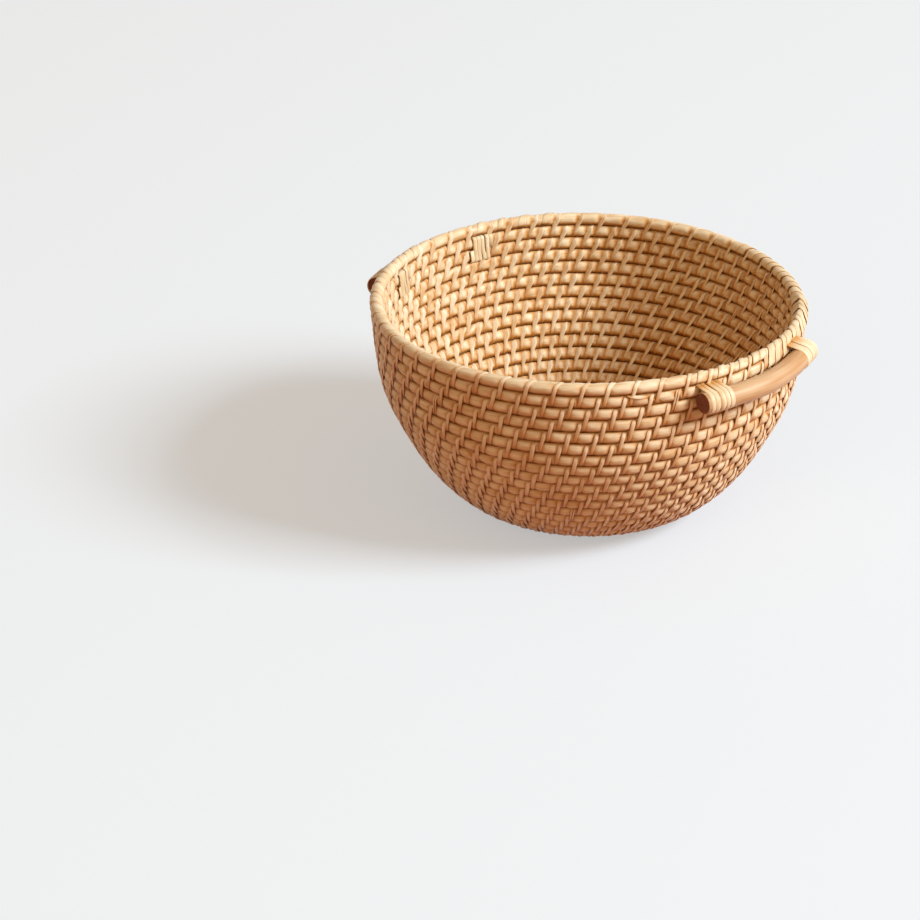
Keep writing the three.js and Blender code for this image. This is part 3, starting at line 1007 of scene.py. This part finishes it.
def wrap_outline(wall, turn, settings, rim):
    """One wrap from the groove under it, outside, over the top and down the inside to the groove"""
    lowered, above, deep = wall.section(max(0.0, turn))
    full = wall.coil.cane_depth / 2
    past = min(1.0, max(0.0, -turn / RAMP))
    lowered += (wall.pitch - lowered) * past
    above += (wall.coil.top_height - above) * past
    deep += (full - deep) * past
    skin = rim.thickness * 0.5
    low = lowered
    reach = wall.press - lowered
    low_deep = deep + skin
    left = 0
    if turn < TIP_WRAPPED:
        low = wall.pitch
        reach = wall.press
        low_deep = full + skin + TIP_CLEARANCE
        left = TIP_LEFT
    over = (1 - settings.lean_outside - settings.lean_inside) / 2
    side = WRAP_REACH + left
    steps = [(side * share - WRAP_REACH, True) for share in shares(WRAP_SIDE_STEPS, 1)]
    steps += [(left + (180 - 2 * left) * share, False) for share in shares(WRAP_TOP_STEPS, 1)]
    steps += [(180 - left + side * share, True) for share in shares(WRAP_SIDE_STEPS, 1)]
    outline = []
    for degrees, under in steps:
        up_share = math.sin(math.radians(degrees))
        out_share = math.cos(math.radians(degrees))
        up = (above + skin) * up_share - lowered
        out = (deep + skin) * out_share
        if under:
            up = reach * up_share - low
            out = low_deep * out_share
        shift = settings.lean_outside + over * ease(degrees / 180)
        if up < -lowered:
            drop = (up + lowered) / wall.pitch
            if out_share > 0:
                shift = settings.lean_outside + settings.lean_outside * drop
            else:
                shift = settings.lean_outside + over - settings.lean_inside * drop
        # Painted shade: a wrap darkens on the underside of the turn that it holds
        outline.append(Place(up, out, up_share, out_share, shift, 1.0, ease(-up_share * 1.4)))
    return outline


def wrap_rings(wall, turn, width, stitch, settings, rng):
    """Rings of one wrap, whose ends are tucked in under the top turn"""
    line = []
    for place in wrap_outline(wall, turn, settings.stitches, settings.rim):
        line.append(spot_on_coil(wall, turn - place.shift * stitch.gap, place, width))
    rim = settings.rim
    return strip_rings(line, rim.thickness, rng.random(), turn * WRAP_GRAIN, rim.shingle, WRAP_EDGING)


def rim_wraps(wall, settings):
    """The wraps between the stitches of the top turn, each as its rings"""
    rng = random.Random(WRAP_SEED)
    plan = [stitch for stitch in stitch_plan(wall, settings.stitches) if stitch.turn < RIM_END]
    plan.insert(0, Stitch(plan[0].turn - plan[0].gap, plan[0].gap, rng, settings.stitches))
    strip = settings.stitches.width
    wraps = []
    for stitch, following in zip(plan, plan[1:]):
        run = wall.run(stitch.turn)
        room = (following.turn - stitch.turn) * run - strip
        count = wraps_between(stitch.turn)
        parts = [rng.uniform(*WRAP_WIDTHS) for wrap in range(count)]
        start = stitch.turn + strip / 2 / run
        for part in parts:
            width = room * part / sum(parts)
            middle = start + width / 2 / run
            start += width / run
            if middle < -RAMP:
                continue
            if count == 1:
                width *= rng.uniform(*LONE_WIDTHS)
            wraps.append(wrap_rings(wall, middle, width * OVERLAP, stitch, settings, rng))
    return wraps


class BOWL_OT_rim(Operator):
    """Wraps parts of the top turn closely with peel, and leaves one strip's end showing"""

    bl_idname = "bowl.rim"
    bl_label = "Wrapped rim"

    def execute(self, context):
        settings = context.scene.bowl
        wall = Wall(settings.coil)
        wrap = wrap_finish(settings.finish)
        add_piece("rim_wrapping", rim_wraps(wall, settings), [wrap])
        peel = peel_finish(settings.finish)
        add_piece("rim_tuck", [tuck_rings(wall, settings.stitches)], [peel])
        return {"FINISHED"}


TUCK_TURN = 0.2225  # where the end of a strip shows under the rim
TUCK_STEPS = 14
TUCK_LENGTH = 0.0135
TUCK_DEPTH = 0.0026  # how far out it starts
TUCK_CURL = 0.0014  # how much farther out its middle is
TUCK_DROP = 0.0016  # how much lower it ends
TUCK_RETURN = 0.0004  # how much deeper it ends


def tuck_rings(wall, settings):
    """Rings of a strip's end that curls out of the groove under the rim and back in"""
    run = wall.run(TUCK_TURN)
    line = []
    for share in shares(TUCK_STEPS, 1):
        curl = math.sin(math.pi * share)
        turn = TUCK_TURN - TUCK_LENGTH * share / run
        up = -wall.press - TUCK_DROP * share
        out = TUCK_DEPTH + TUCK_CURL * curl - TUCK_RETURN * share
        normal = wall.normal(turn, up, 0.75, 0.65 - 0.6 * share)
        width = settings.width * (0.35 + 0.5 * curl)
        # Painted shade: the end darkens where it goes into the groove, less where it curls out
        line.append(Spot(wall.point(turn, up, out), normal, width, 0.7 - 0.6 * curl))
    return strip_rings(line, settings.thickness, 0.6, 1.0, level=False)


# Handles

NODE_DEPTH = 0.0078  # of the solid canes through the wall, which the handles stand off from
NODE_BED = 0.0007  # between those canes and the loops inside the wall
POLE_SIDES = 36
POLE_STEPS = 80
CHAMFER = 0.00025
SLANT = 0.0016  # by which a pole's outer side is cut shorter than the side at the wall
SLANTED = 0.004  # how far from the end the slant dies away
SKIN_SHRINK = 0.996  # of a pole's thickness, which leaves room for its swellings
LONG_SWELL = 0.007
SHORT_SWELL = 0.005


class Pole:
    """Where a handle's pole and its bindings lie against the wall"""

    def __init__(self, wall, handles, azimuth):
        self.wall = wall
        self.handles = handles
        self.azimuth = azimuth
        radius, self.joint_height, self.rise = wall.profile(self.joint(azimuth))
        reach = handles.diameter / 2 + handles.bed
        self.seat_gap = NODE_DEPTH / 2 + math.sqrt(reach ** 2 - (wall.pitch / 2) ** 2)
        self.seat = radius + self.seat_gap * math.sin(self.rise)
        inside = radius * math.cos(math.pi / STATIONS) - NODE_DEPTH / 2 - NODE_BED
        self.loop = (handles.strip_width + handles.strip_gap) / inside
        self.end = handles.length / 2 / self.seat
        self.bound = self.end - handles.overhang / self.seat - handles.loops * self.loop / 2

    def joint(self, azimuth):
        """Distance along the profile of the groove that the pole lies on"""
        behind = -azimuth / (2 * math.pi) % 1.0
        return self.wall.distance(behind + self.handles.rows_above)

    def centre(self, angle):
        """The pole's middle line at an angle from its middle"""
        share = min(1.0, abs(angle) / self.bound)
        radius = self.seat + self.handles.bow * math.cos(math.pi / 2 * share) ** 2
        azimuth = self.azimuth + angle
        height = self.joint_height - self.seat_gap * math.cos(self.rise)
        return Vector((radius * math.cos(azimuth), radius * math.sin(azimuth), height))


def pole_rings(pole):
    """Rings along a pole, with its cut edges broken by a small chamfer"""
    radius = pole.handles.diameter / 2
    rng = random.Random(round(math.degrees(pole.azimuth)))
    phase = rng.uniform(0, 6)
    places = [-pole.end + 2 * pole.end * share for share in shares(POLE_STEPS, 1)]
    inset = CHAMFER / pole.seat
    places[1:1] = [places[0] + inset]
    places[-1:-1] = [places[-1] - inset]
    rings = []
    along = phase
    last = pole.centre(places[0])
    for angle in places:
        centre = pole.centre(angle)
        along += (centre - last).length
        last = centre
        ahead = (pole.centre(angle + 0.001) - pole.centre(angle - 0.001)).normalized()
        side = ahead.cross(Vector((0, 0, 1))).normalized()
        outward = 1.0 if side.dot(centre) > 0 else -1.0
        swell = 1 + LONG_SWELL * math.sin(angle * 23 + phase) + SHORT_SWELL * math.sin(angle * 61 - phase)
        size = radius * swell * SKIN_SHRINK
        if angle in (places[0], places[-1]):
            size -= CHAMFER
        slant = SLANT / 2 * max(0.0, 1 - (pole.end - abs(angle)) * pole.seat / SLANTED)
        ring = Ring([], [], [0.0] * POLE_SIDES, 0.5)
        for share in shares(POLE_SIDES):
            turn = 2 * math.pi * share
            spoke = side * math.cos(turn) + Vector((0, 0, math.sin(turn)))
            back = ahead * math.copysign(slant * (1 + outward * math.cos(turn)), -angle)
            ring.corners.append(centre + spoke * size + back)
            ring.grains.append(Vector((math.cos(turn) * radius, math.sin(turn) * radius, along)))
        rings.append(ring)
    return rings


def for_each_handle(settings):
    """Name and pole of each handle"""
    wall = Wall(settings.coil)
    for name, azimuth in zip(("front", "back"), settings.handles.azimuths):
        yield name, Pole(wall, settings.handles, azimuth)


class BOWL_OT_handles(Operator):
    """Bends the two poles of the handles"""

    bl_idname = "bowl.handles"
    bl_label = "Handles"

    def execute(self, context):
        settings = context.scene.bowl
        materials = [pole_finish(settings.finish), end_finish(settings.finish)]
        for name, pole in for_each_handle(settings):
            add_piece(f"{name}_handle_pole", [pole_rings(pole)], materials, [f"{name}_handle"])
        return {"FINISHED"}


POLE_ARC = 168  # degrees of a pole's outside that a loop lies on
POLE_ARC_STEPS = 12
CORNER_STEPS = 3
CORNER = 0.0016  # radius of a loop's corners inside the wall
CANE_BED = 0.0003  # between a loop and the cane inside the wall
SPLIT_LOOP = 2  # loops before the wider gap in a binding
SPLIT = 0.00038  # the half of that gap
BINDING_SEED = 5
BINDING_THICKNESS = 0.00045
BINDING_LIFT = BINDING_THICKNESS * 0.18  # of a loop's middle over the pole's skin
BINDING_EDGING = 0.1  # painted edge shade of a loop, in that of a stitch's
LOOP_STEP = 0.8  # how far a loop moves along the pole while it crosses over, in the room of a loop


def binding_outline(pole, angle):
    """One loop of a binding about the groove that the pole lies on"""
    wall = pole.wall
    radius, height, rise = wall.profile(pole.joint(pole.azimuth + angle))
    centre = pole.centre(angle)
    out = math.hypot(centre.x, centre.y) - radius
    up = centre.z - height
    pole_out = out * math.sin(rise) - up * math.cos(rise)
    pole_up = out * math.cos(rise) + up * math.sin(rise)
    pitch = wall.pitch
    outside = wall.coil.cane_depth / 2
    inside = -(outside + CANE_BED)
    reach = pole.handles.diameter / 2 + BINDING_LIFT
    first = []
    last = []
    for share in shares(CORNER_STEPS, 1):
        up_share = math.sin(math.pi / 2 * share)
        out_share = -math.cos(math.pi / 2 * share)
        up = pitch - CORNER + CORNER * up_share
        out = inside + CORNER + CORNER * out_share
        first.append(Place(up, out, up_share, out_share))
        last.insert(0, Place(-up, out, -up_share, out_share, 1.0))
    arc = []
    for share in shares(POLE_ARC_STEPS, 1):
        turn = math.radians(POLE_ARC / 2 - POLE_ARC * share)
        up_share = math.sin(turn)
        out_share = math.cos(turn)
        arc.append(Place(pole_up + reach * up_share, pole_out + reach * out_share, up_share, out_share, 1.0))
    # Painted shade: a loop darkens where it goes into the wall over the turn and under it
    over = Place(pitch, outside, 1, 0.15, stain=0.5)
    under = Place(-pitch, outside, -1, 0.15, 1.0, stain=0.8)
    return [Place(0, inside, 0, -1), *first, over, *arc, under, *last]


def binding_rings(pole, side, rng):
    """Rings of a whole binding: its loops, each moved along the pole from the one before"""
    wall = pole.wall
    count = len(binding_outline(pole, side * pole.bound))
    loops = pole.handles.loops
    line = []
    for index in range(loops * count + 1):
        loop = index // count
        middle = side * pole.bound + pole.loop * (loop + 0.5 - loops / 2)
        place = binding_outline(pole, middle)[index % count]
        split = -SPLIT if loop < SPLIT_LOOP else SPLIT
        azimuth = pole.azimuth + middle + pole.loop * (place.shift - 0.5) * LOOP_STEP + split / pole.seat
        distance = pole.joint(azimuth) + place.up
        point = wall.place(azimuth, distance, place.out)
        normal = wall.way(azimuth, distance, place.out_share, place.up_share)
        line.append(Spot(point, normal, pole.loop * point.xy.length * OVERLAP, place.stain))
    return strip_rings(line, BINDING_THICKNESS, rng.random(), rng.uniform(0, 4), edging=BINDING_EDGING)


class BOWL_OT_bindings(Operator):
    """Binds the ends of each pole to the wall with peel"""

    bl_idname = "bowl.bindings"
    bl_label = "Bindings"

    def execute(self, context):
        settings = context.scene.bowl
        material = wrap_finish(settings.finish)
        rng = random.Random(BINDING_SEED)
        for name, pole in for_each_handle(settings):
            for side, word in ((-1, "left"), (1, "right")):
                node = f"{name}_binding_{word}"
                rings = binding_rings(pole, side, rng)
                add_piece(f"{node}_strip", [rings], [material], [node])
        return {"FINISHED"}


# Stage


def add_lamp(name, place, target, size, power, colour):
    """A square soft lamp at a place, facing a target"""
    data = bpy.data.lights.new(name, "AREA")
    data.shape = "SQUARE"
    data.size = size
    data.energy = power
    data.color = colour
    lamp = bpy.data.objects.new(name, data)
    lamp.location = place
    lamp.rotation_euler = (Vector(target) - Vector(place)).to_track_quat("-Z", "Y").to_euler()
    bpy.context.scene.collection.objects.link(lamp)


def add_camera(stage):
    """A camera at the photographed angle, turned until the rim's middle shows at its pixel"""
    target = Vector((0, 0, stage.rim_level))
    place = target + stage.distance * Vector((0, -math.cos(stage.elevation), math.sin(stage.elevation)))
    data = bpy.data.cameras.new("camera")
    data.lens = stage.focal / stage.image * data.sensor_width
    data.clip_end = 50
    camera = bpy.data.objects.new("camera", data)
    aimed = (target - place).to_track_quat("-Z", "Y").to_matrix()
    rolled = Matrix.Rotation(stage.roll, 3, "Z")
    half = stage.image / 2
    toward = Vector((stage.rim_pixel[0] - half, half - stage.rim_pixel[1], -stage.focal))
    swing = Vector((0, 0, -1)).rotation_difference(toward).to_matrix()
    camera.matrix_world = Matrix.Translation(place) @ (aimed @ rolled @ swing.transposed()).to_4x4()
    bpy.context.scene.collection.objects.link(camera)
    bpy.context.scene.camera = camera


SEEN_RAYS = ("Is Camera Ray", "Is Glossy Ray", "Is Transmission Ray")
FLOOR_RADIUS = 9.0


def seen_share(finish):
    """1 where the camera, a mirror or glass sees a surface, 0 where the surface lights others"""
    rays = [finish.node("ShaderNodeLightPath", {}, {}, ray) for ray in SEEN_RAYS]
    return rays[0].math("MAXIMUM", rays[0].math("MAXIMUM", rays[0], rays[1]), rays[2])


def add_floor(stage):
    """A wide floor, even and pale to the camera and warm in the light that it throws back"""
    bm = bmesh.new()
    bmesh.ops.create_circle(bm, cap_ends=True, segments=64, radius=FLOOR_RADIUS)
    mesh = bpy.data.meshes.new("floor")
    bm.to_mesh(mesh)
    bm.free()
    floor = bpy.data.objects.new("floor", mesh)
    bpy.context.scene.collection.objects.link(floor)
    finish = Finish(bpy.data.materials.new("floor"))
    seen = seen_share(finish)
    material = finish.surface(
        Base_Color=finish.mix(seen, solid(stage.floor_bounce), solid(stage.floor)),
        Emission_Color=finish.mix(seen, solid((0.0, 0.0, 0.0)), solid(stage.floor_glow)),
        Emission_Strength=1.0,
        Roughness=0.9,
        Specular_IOR_Level=0.05,
    )
    mesh.materials.append(material)


def set_world(stage):
    """Even warm light from all round, which shows as a pale backdrop"""
    finish = Finish(bpy.data.worlds.new("studio"), "Background")
    light = [part * stage.world for part in stage.world_colour]
    colour = finish.mix(seen_share(finish), solid(light), solid(stage.backdrop))
    bpy.context.scene.world = finish.surface(Color=colour, Strength=1.0)


LIT_PLACE = (0, 0, 0.06)  # the middle of the bowl, which both lamps face
KEY_PLACE = (5.28, -1.65, 4.22)
KEY_SIZE = 2.42
FILL_PLACE = (-2.4, -4.6, 3.34)
FILL_SIZE = 3.6
FILL_SHARE = 0.08  # of the key's strength


class BOWL_OT_stage(Operator):
    """Sets the camera, the lamps and a pale floor"""

    bl_idname = "bowl.stage"
    bl_label = "Stage"

    def execute(self, context):
        stage = context.scene.bowl.stage
        add_camera(stage)
        add_floor(stage)
        set_world(stage)
        add_lamp("key", KEY_PLACE, LIT_PLACE, KEY_SIZE, stage.key_power, (1.0, 1.0, 1.0))
        add_lamp("fill", FILL_PLACE, LIT_PLACE, FILL_SIZE, stage.key_power * FILL_SHARE, (1.0, 0.8, 0.58))
        context.scene.view_settings.view_transform = "Standard"
        return {"FINISHED"}


class BOWL_PT_panel(Panel):
    """Lists the steps that build the bowl"""

    bl_label = "Coiled Rattan Bowl"
    bl_idname = "BOWL_PT_panel"
    bl_space_type = "VIEW_3D"
    bl_region_type = "UI"
    bl_category = "Bowl"

    def draw(self, context):
        for step in STEPS:
            self.layout.operator(step.bl_idname)


STEPS = (
    BOWL_OT_canes,
    BOWL_OT_stitching,
    BOWL_OT_rim,
    BOWL_OT_handles,
    BOWL_OT_bindings,
    BOWL_OT_stage,
)
GROUPS = (
    CoilSettings,
    StitchSettings,
    RimSettings,
    HandleSettings,
    FinishSettings,
    StageSettings,
    BowlSettings,
)


def register():
    for item in (*GROUPS, *STEPS, BOWL_PT_panel):
        bpy.utils.register_class(item)
    bpy.types.Scene.bowl = PointerProperty(type=BowlSettings)


def unregister():
    del bpy.types.Scene.bowl
    for item in reversed((*GROUPS, *STEPS, BOWL_PT_panel)):
        bpy.utils.unregister_class(item)


def main():
    register()
    bpy.ops.bowl.canes()
    bpy.ops.bowl.stitching()
    bpy.ops.bowl.rim()
    bpy.ops.bowl.handles()
    bpy.ops.bowl.bindings()
    bpy.ops.bowl.stage()


if __name__ == "__main__":
    main()
